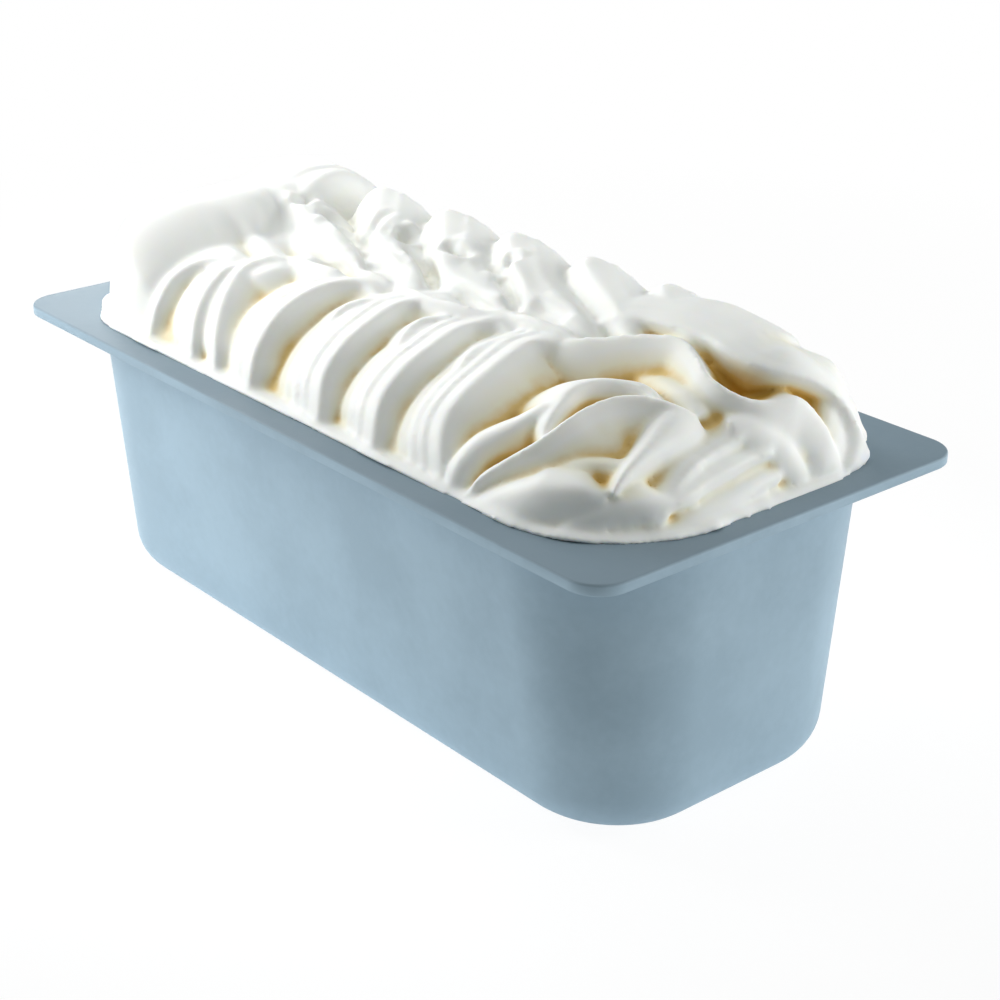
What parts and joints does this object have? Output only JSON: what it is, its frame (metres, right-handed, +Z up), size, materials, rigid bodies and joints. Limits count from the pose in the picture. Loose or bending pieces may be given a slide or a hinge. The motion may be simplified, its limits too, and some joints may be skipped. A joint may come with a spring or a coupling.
{
  "type": "ice cream display pan",
  "caption": "Long tapered plastic pan with a flat flange, filled to the rim with white ice cream heaped in folds and a ribboned swirl.",
  "frame": {"origin": "middle of the pan's flat base, which stands on the surface", "axes": "+Z up; +X along the pan's length, towards the end with the ribboned swirl; +Y across it, towards the back row of folds"},
  "size_m": [0.36, 0.18, 0.167],
  "materials": {
    "tub_plastic": "satin blue-grey polypropylene",
    "ice_cream": "soft matt white dairy ice cream with faint warm creases"
  },
  "bodies": {
    "root": {"tub": "tub_plastic", "ice_cream": "ice_cream"}
  },
  "joints": []
}
